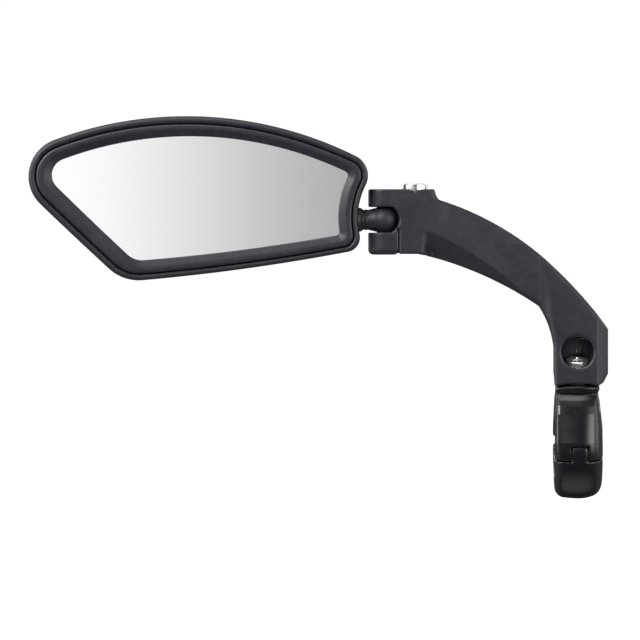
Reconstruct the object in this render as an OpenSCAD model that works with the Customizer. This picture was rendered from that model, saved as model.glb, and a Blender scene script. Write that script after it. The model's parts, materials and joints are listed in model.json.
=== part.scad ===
// Handlebar mirror for a bicycle: a wing-shaped glass head on a ball joint, a curved
// arm that swivels on a domed seat, and a hinged clamp for the bar.
// The origin is the bar's centre, +X points inboard, +Y points ahead, +Z points up,
// and the glass faces -Y.

/* [Bar clamp] */
// Diameter of the handlebar that the clamp holds
bar_d = 22.2; // [22:0.1:22.6]
// Thickness of the rubber liner
liner_t = 1.3; // [1.1:0.1:1.4]
// Outer radius of the clamp ring
ring_r = 20; // [19.8:0.1:20.4]
// Width of the clamp ring along the bar
ring_w = 19.2; // [18.6:0.2:20]
// Rounding of the ring's outer corners
ring_round = 5; // [4:0.5:6]

/* [Swivel] */
// Place of the swivel's axis along the bar, from the ring's middle
swivel_x = -1; // [-1.4:0.2:-0.6]
// Lean of the clamp and of the swivel's axis towards the rider, degrees
lean = 16; // [15:0.5:17]
// Height of the domed seat above the bar's centre, along the swivel's axis
seat_top = 30.3; // [30:0.1:30.5]
// Radius of the domed seat
seat_r = 40; // [38:1:44]

/* [Arm] */
// Height of the ball joint above the bar
ball_z = 94; // [93:0.5:95]
// Place of the ball joint along the bar, from the ring's middle
ball_x = -80; // [-80.5:0.5:-79.5]
// Place of the arm's middle plane, negative towards the rider
arm_y = -8; // [-8.4:0.2:-7.6]
// Half thickness of the arm at the ball joint
fork_half = 6.4; // [6.4:0.1:6.6]
// Half thickness of the arm at its foot
foot_half = 9.2; // [9:0.1:9.6]

/* [Ball joint] */
// Radius of the ball
ball_r = 6; // [5.9:0.1:6]
// Radius of the neck beside the ball
neck_r = 4.2; // [4:0.1:4.3]
// Half height of the fork's mouth
mouth_half = 5.4; // [5.4:0.05:5.5]

/* [Head] */
// Front face of the bezel, measured from the ball's centre
bezel_y = -9.6; // [-9.8:0.1:-9.4]
// Thickness of the mirror glass
glass_t = 2; // [1.8:0.1:2.2]
// Height of the raised back panel
pod_h = 3.4; // [3:0.2:3.8]

/* [Hidden] */
$fn = 64;
// radial play of a fit
fit = 0.05;
// radial play of a screw in its clearance hole
screw_play = 0.2;

charcoal = [0.17, 0.175, 0.185];
gloss_black = [0.08, 0.08, 0.09];
steel = [0.8, 0.8, 0.82];

// --- head outline: four corner circles [x, z, r] about the ball's centre, ---
// --- anticlockwise from the upper inboard corner, joined by four arcs      ---
rim_corners = [[-16.1, 18.3, 9], [-129.8, 18, 16], [-100.6, -6.9, 18], [-16.5, -7, 6]];
glass_corners = [[-17, 18, 2], [-129.4, 18.3, 6.8], [-99.2, -7.6, 9], [-20, -5, 1.5]];
// radii of the top, tip, bottom and inboard arcs; a negative one is hollow
rim_arcs = [155.7, 1500, 850, -30];
glass_arcs = [148, 1500, 850, -38];
arc_points = [12, 4, 8, 6];
corner_points = [7, 8, 6, 4];

function mix(a, b, t) = a + (b - a) * t;
function polar(c, r, a) = [c[0] + r * cos(a), c[1] + r * sin(a)];
function angle_of(v) = atan2(v[1], v[0]);
function turn(a) = a - 360 * floor(a / 360);

// centre of the arc of radius r that touches both corner circles
function arc_centre(p, q, r) =
    let(s = sign(r), rp = abs(r) - s * p[2], rq = abs(r) - s * q[2],
        d = norm([q[0] - p[0], q[1] - p[1]]),
        along = (rp * rp - rq * rq + d * d) / (2 * d),
        side = sqrt(rp * rp - along * along),
        e = [q[0] - p[0], q[1] - p[1]] / d)
    [p[0] + along * e[0] - s * side * e[1], p[1] + along * e[1] + s * side * e[0]];

// direction from a corner's centre to the point where an arc touches it
function touch_angle(corner, centre, r) =
    r > 0 ? angle_of([corner[0], corner[1]] - centre) : angle_of(centre - [corner[0], corner[1]]);

// points of one corner and of the arc that follows it
function corner_run(c, arcs, i) =
    let(n = len(c), p = c[i], q = c[(i + 1) % n], before = c[(i + n - 1) % n],
        r_in = arcs[(i + n - 1) % n], r_out = arcs[i],
        e_in = arc_centre(before, p, r_in), e_out = arc_centre(p, q, r_out),
        a0 = touch_angle(p, e_in, r_in), a1 = touch_angle(p, e_out, r_out),
        a2 = touch_angle(q, e_out, r_out), sweep = turn(a1 - a0),
        flip = r_out > 0 ? 0 : 180,
        bend = r_out > 0 ? turn(a2 - a1) : turn(a2 - a1 + 180) - 180)
    concat(
        [for (k = [0:corner_points[i]]) polar(p, p[2], a0 + sweep * k / corner_points[i])],
        [for (k = [1:arc_points[i] - 1])
            polar(e_out, abs(r_out), a1 + flip + bend * k / arc_points[i])]);

// the head's outline: t = 0 at the outer rim, t = 1 at the glass opening
function outline(t) =
    let(c = mix(rim_corners, glass_corners, t), arcs = mix(rim_arcs, glass_arcs, t))
    [for (i = [0:3]) each corner_run(c, arcs, i)];

// --- back of the head: a low dome with a raised panel ---
pod_end = [-47.5, 12.5];
pod_end_r = 14;
function pod_top(x) = 28.1 - pow(x + 75, 2) / 542;
function pod_bottom(x) = -3.5 + pow(x + 86, 2) / 760;
function clamp01(v) = max(0, min(1, v));
function ease(v) = let(c = clamp01(v)) c * c * (3 - 2 * c);
// distance inside the panel's edge, positive within
function pod_depth(x, z) =
    min(pod_top(x) - z, z - pod_bottom(x),
        x > pod_end[0] ? pod_end_r - norm([x, z] - pod_end) : 99, x + 141);
function pod_lift(x, z) = pod_h * ease(pod_depth(x, z) / 5);
function dome_y(x, z) = 9.4 - 2.6 * pow((x + 78) / 62, 2) - 2.2 * pow((z - 8) / 26, 2);
function back_y(x, z) = dome_y(x, z) + pod_lift(x, z);

spine_z = 8;
spine_out = -112;
spine_in = -42;
function spine(p) = [max(spine_out, min(spine_in, p[0])), spine_z];

rim_y = -4;
wall = 2;
function rim_ring(t, y) = [for (p = outline(t)) [p[0], y, p[1]]];
// ring between the rim and the glass opening's outline on the outer back
function shoulder_ring(t, lift) =
    [for (p = outline(t)) [p[0], mix(rim_y, back_y(p[0], p[1]), lift), p[1]]];
function back_ring(s) =
    [for (p = outline(1)) let(q = mix(spine(p), p, s)) [q[0], back_y(q[0], q[1]), q[1]]];
function inner_ring(s) =
    [for (p = outline(1)) let(q = mix(spine(p), p, s)) [q[0], dome_y(q[0], q[1]) - wall, q[1]]];

// from the middle of the back, out over the shoulder, round the rim and back inside
housing_rings = concat(
    [for (s = [0.15, 0.3, 0.45, 0.6, 0.74, 0.84, 0.92, 1]) back_ring(s)],
    [for (k = [4:-1:1]) shoulder_ring(0.15 * pow(k, 1.25), sin(90 * pow(k / 5.2, 0.75)))],
    [rim_ring(0, rim_y), rim_ring(0, -6.4), rim_ring(0.03, -8.1), rim_ring(0.12, -9),
     rim_ring(0.3, -8.7), rim_ring(0.3, -1.5), rim_ring(0.7, 3)],
    [for (s = [1, 0.8, 0.5, 0.15]) inner_ring(s)]);

// closed solid through rings of equal length: the end rings are capped,
// or the last one is joined back to the first
module loft(rings, closed = false) {
    n = len(rings[0]);
    m = len(rings);
    last = closed ? m - 1 : m - 2;
    sides = [for (j = [0:last], i = [0:n - 1])
        let(a = j * n, b = ((j + 1) % m) * n, k = (i + 1) % n)
        each [[a + i, b + i, b + k], [a + i, b + k, a + k]]];
    caps = closed ? [] : [[for (i = [0:n - 1]) i], [for (i = [n - 1:-1:0]) (m - 1) * n + i]];
    polyhedron([for (r = rings) each r], concat(sides, caps), convexity = 8);
}

// plate with the head's outline between two depths
module head_plate(t, y0, y1) {
    translate([0, y1, 0]) rotate([90, 0, 0]) linear_extrude(y1 - y0) polygon(outline(t));
}

// moves a child from the ball's centre to its place
module at_ball() { translate([ball_x, arm_y, ball_z]) children(); }
// turns a child's Z axis to +X
module along_x() { rotate([0, 90, 0]) children(); }
// leans a child with the clamp, about the bar's centre
module at_clamp() { rotate([lean, 0, 0]) children(); }
// moves a child to the swivel's axis
module at_swivel() { at_clamp() translate([swivel_x, 0, 0]) children(); }

// --- stud, its tongue and its screws ---
tongue_in = -12.6;
tongue_out = -38;
tongue_y = [-1.2, 1.8];
tongue_half = 5;
screw_x = [-24, -33];
screw_r = 1.4;
boss_r = 3;
boss_h = 7;
collar_in = -9.2;
collar_out = -14;
stud_out = -13.4;
collar_r = 6.3;

// ribs behind the foam pad
rib_x = [-60, -80, -100];
rib_size = [1.6, 11.5, 24];
rib_at = [-3.1, -4];

// turns a child's Z axis outboard, along the stud
module outboard() { rotate([0, -90, 0]) children(); }
// puts a child at each of the stud's screws, with its Z axis ahead
module at_screws(y) {
    for (x = screw_x) translate([x, y, 0]) rotate([-90, 0, 0]) children();
}

module rear_housing() {
    tongue_slot = [tongue_in - tongue_out, tongue_y[1] + 7.2, 2 * tongue_half] + [0.6, 0, 0.6];
    color(charcoal) at_ball() difference() {
        union() {
            loft(housing_rings);
            outboard() rotate_extrude()
                polygon([[0, -collar_in], [4.7, -collar_in], [5.2, 0.9 - collar_in],
                    [collar_r, 2.4 - collar_in], [collar_r, -collar_out], [0, -collar_out]]);
            at_screws(tongue_y[1]) cylinder(h = boss_h, r = boss_r);
            for (x = rib_x) translate([x, rib_at[0], rib_at[1]]) cube(rib_size);
        }
        outboard() cylinder(h = 2 - collar_out, r = neck_r - 0.2);
        translate([tongue_out - 0.3, -7.2, -tongue_half - 0.3]) cube(tongue_slot);
        at_screws(0) cylinder(h = boss_h, r = screw_r);
    }
}

bezel_profile = [[0.33, -8.6], [0.4, bezel_y], [0.78, bezel_y], [1, -7.9], [1, -7.4],
    [0.87, -7.4], [0.87, -3.2], [0.33, -3.2]];
module bezel() {
    color(charcoal) at_ball() loft([for (p = bezel_profile) rim_ring(p[0], p[1])], closed = true);
}

// stripe round the panel's inboard end: [inner edge, outer edge] at each station
stripe_gap = 0.5;
stripe_tip = -109.5;
stripe_end = -81;
function stripe_top(k) =
    let(x = mix(stripe_tip, pod_end[0], k), w = 0.3 + 3 * pow(k, 0.4), z = pod_top(x) + stripe_gap)
    [[x, z], [x, z + w]];
function stripe_round(k) =
    let(a = 90 - 180 * k, r = pod_end_r + stripe_gap, w = 3.3 + 3 * ease(k * 1.4))
    [polar(pod_end, r, a), polar(pod_end, r + w, a)];
function stripe_low(k) =
    let(x = mix(pod_end[0], stripe_end, k), z = pod_bottom(x) - stripe_gap, w = 6.3 + 3.2 * k)
    [[x, z], [x + 7 * k * k, z - w]];
stripe = concat(
    [for (k = [0:16]) stripe_top(k / 16)],
    [for (k = [1:13]) stripe_round(k / 14)],
    [for (k = [0:10]) stripe_low(k / 10)]);
stripe_sink = 0.12;
stripe_proud = 0.15;
function stripe_row(st, lift, order) =
    [for (v = order) let(q = mix(st[0], st[1], v / 3)) [q[0], back_y(q[0], q[1]) + lift, q[1]]];
module stripe_decal() {
    color("white") at_ball() loft([for (st = stripe)
        concat(stripe_row(st, stripe_proud, [3, 2, 1, 0]), stripe_row(st, -stripe_sink, [0, 1, 2, 3]))]);
}

glass_y = -7.4;
coating_t = 0.15;
film_t = 0.25;
module mirror_glass() { color([0.86, 0.9, 0.92]) at_ball() head_plate(0.9, glass_y, glass_y + glass_t); }
module mirror_coating() {
    color(steel) at_ball() head_plate(0.9, glass_y + glass_t, glass_y + glass_t + coating_t);
}
film_y = glass_y + glass_t + coating_t;
module safety_film() { color("lightblue") at_ball() head_plate(0.9, film_y, film_y + film_t); }
module foam_pad() { color("dimgray") at_ball() head_plate(1, film_y + film_t, -3.2); }

module ball_stud() {
    color(charcoal) at_ball() {
        sphere(ball_r);
        outboard() rotate_extrude() polygon(stud_profile);
        difference() {
            translate([tongue_out, tongue_y[0], -tongue_half])
                cube([tongue_in - tongue_out, tongue_y[1] - tongue_y[0], 2 * tongue_half]);
            at_screws(-3) cylinder(h = 9, r = screw_r + screw_play);
        }
    }
}
rib_pitch = 0.8;
rib_depth = 0.25;
rib_start = 5.6;
stud_profile = concat(
    [[0, 3], [neck_r, 3], [neck_r, rib_start]],
    [for (k = [0:3]) each [[neck_r - rib_depth, rib_start + rib_pitch * (k + 0.3)],
        [neck_r, rib_start + rib_pitch * (k + 0.6)], [neck_r, rib_start + rib_pitch * (k + 1)]]],
    [[neck_r, -collar_in - 0.1], [neck_r - 0.25, -collar_in - 0.1],
     [neck_r - 0.25, -stud_out], [0, -stud_out]]);

module stud_screws() {
    head_h = 1.4;
    color(steel) at_ball() at_screws(tongue_y[0]) difference() {
        union() {
            translate([0, 0, -head_h]) cylinder(h = head_h, r = 2.6);
            cylinder(h = 7.6, r = screw_r);
        }
        translate([0, 0, -head_h - 0.1]) cylinder(h = 0.9, r = 1.1, $fn = 6);
    }
}

// --- ball seats and lower jaw, about the ball's centre ---
seat_in = ball_r + fit;
seat_out = ball_r + 1;
pocket_r = seat_out + fit;
bolt_x = 12.4;
fork_top = 12.5;
jaw_bottom = -14;
slit_x = 6.25;
slit_gap = 0.3;
mouth_round = 4;
tail_end = 16.6;
tail_half = 4.3;
tail_top = -5.6;

module seat_cap() {
    difference() {
        sphere(seat_out);
        sphere(seat_in);
        translate([-10, -10, -20 + mouth_half + 0.1]) cube([20, 20, 20]);
    }
}
module ball_seat_upper() { color("dimgray") at_ball() seat_cap(); }
module ball_seat_lower() { color("dimgray") at_ball() mirror([0, 0, 1]) seat_cap(); }

module lower_jaw() {
    head_end = slit_x - slit_gap;
    lip_angle = 36;
    lip_centre = [head_end - mouth_round, mouth_round - mouth_half];
    color(charcoal) at_ball() difference() {
        union() {
            translate([0, 0, jaw_bottom + 1]) cylinder(h = -mouth_half - jaw_bottom - 1, r = fork_half);
            translate([0, 0, jaw_bottom]) cylinder(h = 1, r1 = fork_half - 1, r2 = fork_half);
            translate([0, -fork_half, jaw_bottom])
                cube([head_end, 2 * fork_half, -mouth_half - jaw_bottom]);
            rotate([90, 0, 0]) linear_extrude(2 * fork_half, center = true) polygon(concat(
                [for (k = [0:6]) polar(lip_centre, mouth_round, -90 + (90 - lip_angle) * k / 6)],
                [[head_end, lip_centre[1] - mouth_round * sin(lip_angle)], [head_end, -mouth_half - 1],
                [0, -mouth_half - 1]]));
            translate([0, -tail_half, jaw_bottom + 0.4])
                cube([tail_end, 2 * tail_half, tail_top - jaw_bottom - 0.4]);
        }
        sphere(pocket_r);
        translate([bolt_x, 0, jaw_bottom - 1]) cylinder(h = 20, r = 3);
    }
}

bolt_r = 2.5;
module jaw_insert() {
    color("goldenrod") at_ball() translate([bolt_x, 0, jaw_bottom + 0.4]) difference() {
        cylinder(h = tail_top - jaw_bottom - 0.9, r = 3);
        translate([0, 0, -1]) cylinder(h = 12, r = bolt_r + fit);
    }
}

// socket-head screw with its bearing face at z = 0 and its shank below
module socket_screw(head_r, head_h, shank_r, shank_l, key_r) {
    difference() {
        union() {
            cylinder(h = head_h - 0.5, r = head_r);
            translate([0, 0, head_h - 0.5]) cylinder(h = 0.5, r1 = head_r, r2 = head_r - 0.5);
            translate([0, 0, -shank_l]) cylinder(h = shank_l, r = shank_r);
        }
        translate([0, 0, head_h - 2.2]) cylinder(h = 3, r = key_r, $fn = 6);
    }
}
module washer(r_out, r_in, h) {
    difference() {
        cylinder(h = h, r = r_out);
        translate([0, 0, -1]) cylinder(h = h + 2, r = r_in);
    }
}

bore_floor = 9.5;
thin = 0.8;
module jaw_washer() { color(steel) at_ball() translate([bolt_x, 0, bore_floor]) washer(5.4, 2.6, thin); }
module jaw_bolt() {
    color(steel) at_ball() translate([bolt_x, 0, bore_floor + thin])
        socket_screw(5.3, fork_top + 2.2 - bore_floor - thin, bolt_r, 23, 2.9);
}

// --- arm ---
// points strictly between p and q on an arc that rises by sag to the left of p-q
function bow(p, q, sag, n) =
    let(d = norm(q - p), r = (d * d / 4 + sag * sag) / (2 * sag), e = (q - p) / d,
        left = [-e[1], e[0]], c = (p + q) / 2 + left * (sag - r), half = asin(d / 2 / r))
    [for (k = [1:n - 1]) let(a = half * (2 * k / n - 1)) c + r * (left * cos(a) + e * sin(a))];

under_in = [-66, 80];
under_mid = [-16.6, 58.6];
foot_left = [-10.4, 42];
foot_right = 11.7;
foot_shoulder = 49.7;
arm_top_in = [-57.4, 102.1];
arm_side = concat(
    [[ball_x - 7, ball_z + jaw_bottom], under_in], bow(under_in, under_mid, 2.5, 8),
    [under_mid], bow(under_mid, foot_left, 1, 4),
    [foot_left, [foot_left[0], 22], [7, 22], [foot_right, 31], [foot_right, foot_shoulder]],
    bow([foot_right, foot_shoulder], arm_top_in, -6.8, 12),
    [arm_top_in, [-58.6, 103.4], [-59.5, ball_z + fork_top], [ball_x - 7, ball_z + fork_top]]);

front_edge = [[ball_x, fork_half], [-59.5, fork_half + 0.2], [-22, 7.2], [-12.5, foot_half],
    [7, foot_half], [foot_right, foot_half - 4.6]];
module arm_plan() {
    n = len(front_edge);
    polygon(concat([for (p = front_edge) [p[0], -p[1]]], [for (i = [n - 1:-1:0]) front_edge[i]]));
    translate([ball_x, 0]) circle(fork_half);
}

// hollow under the arm's front ridge: a cone band about the ridge arc's centre
ridge_centre = [-115.6, -37];
ridge_r = 137;
web_half = 2.2;
hollow_start = -64.8;
module under_hollow() {
    intersection() {
        translate([ridge_centre[0], 0, ridge_centre[1]]) rotate([90, 0, 0])
            rotate([0, 0, 38]) rotate_extrude(angle = 36, $fn = 180)
            polygon([[ridge_r + 0.4, fork_half + 1.4], [ridge_r, fork_half + 0.4], [ridge_r - 11, web_half],
                [ridge_r - 16, web_half], [ridge_r - 16, 12], [ridge_r + 0.4, 12]]);
        linear_extrude(130) polygon([[hollow_start, -14], [hollow_start, -fork_half],
            [hollow_start + 7, -web_half], [0, -web_half], [0, -14]]);
    }
}

module mouth_cut() {
    corner = [for (a = [0:15:90]) [slit_x - mouth_round + mouth_round * cos(a),
        mouth_half - mouth_round + mouth_round * sin(a)]];
    rotate([90, 0, 0]) linear_extrude(30, center = true)
        polygon(concat([[-20, -20], [slit_x, -20]], corner, [[-20, mouth_half]]));
}

// --- swivel, in its own frame: the axis is Z ---
bearing = 33.8;
pocket_floor = 37.4;
dome_centre = seat_top - seat_r;
seat_gap = 1;
key_pocket_r = 6.7;
mouth_at = 41.4;
module arm() {
    color(charcoal) difference() {
        translate([0, arm_y, 0]) difference() {
            intersection() {
                rotate([90, 0, 0]) linear_extrude(40, center = true) polygon(arm_side);
                linear_extrude(130) arm_plan();
            }
            for (s = [0, 1]) mirror([0, s, 0]) under_hollow();
        }
        at_ball() {
            mouth_cut();
            sphere(pocket_r);
            translate([slit_x - 2, -tail_half - 0.3, -30])
                cube([tail_end + 0.3 - slit_x + 2, 2 * tail_half + 0.6, 30 + tail_top + 0.6]);
            translate([bolt_x, 0, -10]) cylinder(h = 40, r = bolt_r + screw_play);
            translate([bolt_x, 0, bore_floor]) cylinder(h = 10, r = 5.6);
        }
        at_swivel() {
            translate([0, 0, dome_centre]) sphere(seat_r + seat_gap, $fn = 128);
            cylinder(h = bearing + 1, r = bolt_r + screw_play);
            translate([0, 0, bearing]) cylinder(h = pocket_floor - bearing + 1, r = 4.9);
            translate([0, 0, pocket_floor]) cylinder(h = 9, r = key_pocket_r);
            translate([0, 0, mouth_at]) rotate([90 - lean, 0, 0]) cylinder(h = 20, r = key_pocket_r - 0.1);
        }
    }
}

swivel_head_h = 3.6;
module swivel_washer() { color(steel) at_swivel() translate([0, 0, bearing]) washer(4.7, 2.6, thin); }
module swivel_bolt() {
    color(steel) at_swivel() translate([0, 0, bearing + thin])
        socket_screw(4.5, swivel_head_h, bolt_r, 20, 2.3);
}
module swivel_seat() {
    color("dimgray") at_swivel() difference() {
        intersection() {
            translate([0, 0, dome_centre]) sphere(seat_r + seat_gap - fit, $fn = 128);
            cylinder(h = 60, r = 7.6);
        }
        translate([0, 0, dome_centre]) sphere(seat_r, $fn = 128);
        cylinder(h = 60, r = bolt_r + screw_play);
    }
}
nut_low = 15;
nut_h = 4;
nut_r = 8 / sqrt(3);
module swivel_nut() {
    color(steel) at_swivel() translate([0, 0, nut_low]) difference() {
        cylinder(h = nut_h, r = nut_r, $fn = 6);
        translate([0, 0, -1]) cylinder(h = nut_h + 2, r = bolt_r + fit);
    }
}

// --- bar clamp ---
ring_in = bar_d / 2 + liner_t;
hinge_y = -16.2;
hinge_z = 3.4;
pin_r = 1.25;
seam_z = 0.6;
seam_gap = 0.4;
rear_top = 1.6;
rear_bottom = -2.8;
lug_y = 18.5;
lug_r = 5.6;
lug_top = 10;
lug_bottom = -12.4;
// flat cut for the closing bolt's washer
spot_r = 5.1;
knuckle_half = 3.4;
knuckle_top = 6.4;
nut_z = -7.4;
barrel_r = 3.6;
// root of the closing bolt's thread, and the bore of its nut, wide enough to tilt by 2 degrees
thread_r = 2.1;
nut_bore_r = 2.75;

module ring_band(r_in, r_out, w, round) {
    edge = w / 2 - round;
    corner = [for (a = [0:15:90]) [r_out - round + round * sin(a), edge + round * cos(a)]];
    n = len(corner);
    along_x() rotate_extrude($fn = 96) polygon(concat([[r_in, -w / 2], [r_in, w / 2]], corner,
        [for (i = [n - 1:-1:0]) [corner[i][0], -corner[i][1]]]));
}
// all that lies above or below the stepped parting line
module above_seam() {
    rotate([90, 0, 90]) linear_extrude(60, center = true)
        polygon([[-40, seam_z], [0, seam_z], [0, rear_top], [40, rear_top], [40, 60], [-40, 60]]);
}
module below_seam() {
    low = seam_z - seam_gap;
    rotate([90, 0, 90]) linear_extrude(60, center = true)
        polygon([[-40, low], [0, low], [0, rear_bottom], [40, rear_bottom], [40, -60], [-40, -60]]);
}
// cylinder on the hinge's axis
module at_hinge(h, r) {
    translate([0, hinge_y, hinge_z]) along_x() cylinder(h = h, r = r, center = true);
}
module lug(z0, z1) {
    translate([0, lug_y, z0]) cylinder(h = z1 - z0, r = lug_r);
    translate([-lug_r, 8, z0]) cube([2 * lug_r, lug_y - 8, z1 - z0]);
}
module saddle_block() {
    intersection() {
        rotate([90, 0, 90]) linear_extrude(30, center = true)
            polygon([[-14.2, 14.1], [-11.5, 20], [-9.6, 24], [-8.8, 27], [-9.6, 27.3], [-9.6, 32],
                [9, 32], [9, 27], [11.5, 20], [14.2, 14.1]]);
        rotate([90, 0, 0]) linear_extrude(40, center = true)
            polygon([[swivel_x - 8.6, 8], [swivel_x + 8.6, 8], [swivel_x + 8.6, 27], [11.5, 34],
                [swivel_x - 8.6, 34]]);
        translate([swivel_x, 0, dome_centre]) sphere(seat_r, $fn = 128);
    }
}
module upper_clamp() {
    color(gloss_black) at_clamp() difference() {
        union() {
            intersection() {
                ring_band(ring_in, ring_r, ring_w, ring_round);
                above_seam();
            }
            saddle_block();
            lug(rear_top, lug_top);
        }
        along_x() cylinder(h = 60, r = ring_in, center = true, $fn = 96);
        translate([-knuckle_half - 0.3, -30, -4]) cube([2 * knuckle_half + 0.6, 22, 4.3 + knuckle_top]);
        at_hinge(60, pin_r);
        translate([0, lug_y, 0]) cylinder(h = 30, r = bolt_r + screw_play);
        translate([0, lug_y, lug_top]) cylinder(h = 20, r = spot_r);
        translate([swivel_x, 0, 8]) cylinder(h = 40, r = bolt_r + screw_play);
        translate([swivel_x, 0, 8]) cylinder(h = nut_low + nut_h - 8, r = nut_r + 0.1, $fn = 6);
    }
}
module lower_clamp() {
    color(gloss_black) at_clamp() difference() {
        union() {
            intersection() {
                ring_band(ring_in, ring_r, ring_w, ring_round);
                below_seam();
            }
            intersection() {
                ring_band(ring_in + 0.5, ring_r - 0.1, ring_w, ring_round);
                translate([-knuckle_half, -30, -3]) cube([2 * knuckle_half, 22, 3 + knuckle_top]);
            }
            lug(lug_bottom, rear_bottom);
        }
        along_x() cylinder(h = 60, r = ring_in, center = true, $fn = 96);
        at_hinge(60, pin_r + fit);
        translate([0, lug_y, -30]) cylinder(h = 40, r = bolt_r + 0.4);
        translate([0, lug_y, nut_z]) along_x() cylinder(h = 60, r = barrel_r + fit, center = true);
    }
}
module clamp_hinge_pin() {
    color(steel) at_clamp() at_hinge(ring_w - 2.6, pin_r);
}
module clamp_barrel_nut() {
    color(steel) at_clamp() translate([0, lug_y, nut_z]) difference() {
        along_x() cylinder(h = 2 * lug_r - 1, r = barrel_r, center = true);
        cylinder(h = 20, r = nut_bore_r, center = true);
    }
}
module clamp_washer() { color(steel) at_clamp() translate([0, lug_y, lug_top]) washer(4.8, 2.6, thin); }
module clamp_bolt() {
    color(steel) at_clamp() translate([0, lug_y, lug_top + thin]) socket_screw(4.25, 5, thread_r, 23, 2.3);
}
module liner_band() {
    w = ring_w - 0.4;
    along_x() rotate_extrude($fn = 96) translate([bar_d / 2, -w / 2]) square([liner_t, w]);
}
module upper_liner() {
    color("black") at_clamp() intersection() {
        liner_band();
        above_seam();
    }
}
module lower_liner() {
    color("black") at_clamp() intersection() {
        liner_band();
        below_seam();
    }
}

rear_housing();
bezel();
mirror_glass();
mirror_coating();
safety_film();
foam_pad();
stripe_decal();
ball_stud();
stud_screws();
ball_seat_upper();
ball_seat_lower();
lower_jaw();
jaw_insert();
jaw_bolt();
jaw_washer();
arm();
swivel_bolt();
swivel_washer();
swivel_seat();
swivel_nut();
upper_clamp();
lower_clamp();
clamp_hinge_pin();
clamp_bolt();
clamp_washer();
clamp_barrel_nut();
upper_liner();
lower_liner();
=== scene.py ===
import json
import math

import bmesh
import bpy
import numpy as np
from mathutils import Matrix, Vector

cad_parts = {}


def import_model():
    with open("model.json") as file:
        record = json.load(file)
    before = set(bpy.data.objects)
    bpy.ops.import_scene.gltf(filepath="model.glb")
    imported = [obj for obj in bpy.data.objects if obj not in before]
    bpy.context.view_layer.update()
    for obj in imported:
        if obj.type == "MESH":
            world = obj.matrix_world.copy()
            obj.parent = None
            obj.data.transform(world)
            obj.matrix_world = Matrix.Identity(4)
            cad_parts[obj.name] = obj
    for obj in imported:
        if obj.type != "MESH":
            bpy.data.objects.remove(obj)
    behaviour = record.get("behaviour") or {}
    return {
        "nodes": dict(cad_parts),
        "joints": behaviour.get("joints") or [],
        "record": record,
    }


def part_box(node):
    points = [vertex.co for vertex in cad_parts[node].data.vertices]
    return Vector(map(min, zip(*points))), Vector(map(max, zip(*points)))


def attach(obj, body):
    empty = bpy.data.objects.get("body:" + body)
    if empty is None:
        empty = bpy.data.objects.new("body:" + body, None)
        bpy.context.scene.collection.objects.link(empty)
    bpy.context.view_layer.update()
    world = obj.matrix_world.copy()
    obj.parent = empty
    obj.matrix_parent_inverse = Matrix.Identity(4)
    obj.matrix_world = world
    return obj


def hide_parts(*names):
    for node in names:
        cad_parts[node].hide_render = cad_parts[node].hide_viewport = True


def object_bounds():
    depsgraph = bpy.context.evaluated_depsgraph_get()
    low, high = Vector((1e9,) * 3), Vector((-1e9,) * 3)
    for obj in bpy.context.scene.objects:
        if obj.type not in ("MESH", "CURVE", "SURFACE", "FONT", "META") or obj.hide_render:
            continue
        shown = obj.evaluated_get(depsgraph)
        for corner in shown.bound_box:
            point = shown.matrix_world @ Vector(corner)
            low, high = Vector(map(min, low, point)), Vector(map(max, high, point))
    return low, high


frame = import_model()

cad_low, cad_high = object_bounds()

# Lengths are in millimetres up to the meshes, and in metres in the materials and the stage.
# -X is outboard, where the head is, and the rider looks along +Y.
MM = 0.001
JOINTS = {j["name"]: j for j in frame["joints"]}
BALL = np.array(JOINTS["head_pan"]["pos_m"]) / MM
LEAN = math.atan2(-JOINTS["arm_swivel"]["axis"][1], JOINTS["arm_swivel"]["axis"][2])
SLOTS = {s["node"]: s["material_slot"] for s in frame["record"]["subparts"]}
BODY_OF = {n: b for b, ns in frame["record"]["behaviour"]["bodies"].items() for n in ns}


# ---------------------------------------------------------------- materials
def node_of(tree, kind, **values):
    """A new node with some of its inputs or properties set."""
    node = tree.nodes.new(kind)
    for key, value in values.items():
        if hasattr(node, key):
            setattr(node, key, value)
        else:
            node.inputs[key.replace("_", " ")].default_value = value
    return node


def new_material(name, colour, roughness, metallic=0.0):
    """A material with a Principled shader, and the shader, its tree and the object coordinates."""
    mat = bpy.data.materials.new(name)
    mat.use_nodes = True
    tree = mat.node_tree
    shader = tree.nodes["Principled BSDF"]
    shader.inputs["Base Color"].default_value = (*colour, 1)
    shader.inputs["Roughness"].default_value = roughness
    shader.inputs["Metallic"].default_value = metallic
    coords = tree.nodes.new("ShaderNodeTexCoord").outputs["Object"]
    return mat, shader, tree, coords


def noise(tree, coords, size, detail=2.0):
    """Noise whose grain is about size metres across."""
    node = node_of(tree, "ShaderNodeTexNoise", Scale=1 / size, Detail=detail)
    tree.links.new(coords, node.inputs["Vector"])
    return node.outputs["Fac"]


def remap(tree, value, low, high, dark, bright):
    """Value from low..high, stretched to dark..bright."""
    node = node_of(tree, "ShaderNodeMapRange")
    for key, v in (("From Min", low), ("From Max", high), ("To Min", dark), ("To Max", bright)):
        node.inputs[key].default_value = v
    tree.links.new(value, node.inputs["Value"])
    return node.outputs["Result"]


def blend_colours(tree, factor, a, b):
    """Colour a where the factor is 0, colour b where it is 1."""
    node = node_of(tree, "ShaderNodeMix", data_type="RGBA")
    node.inputs["A"].default_value = (*a, 1)
    node.inputs["B"].default_value = (*b, 1)
    tree.links.new(factor, node.inputs["Factor"])
    return node.outputs["Result"]


def coordinates(tree, kind):
    """The X, Y and Z outputs of a kind of texture coordinates."""
    split = tree.nodes.new("ShaderNodeSeparateXYZ")
    tree.links.new(tree.nodes.new("ShaderNodeTexCoord").outputs[kind], split.inputs["Vector"])
    return split.outputs


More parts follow.
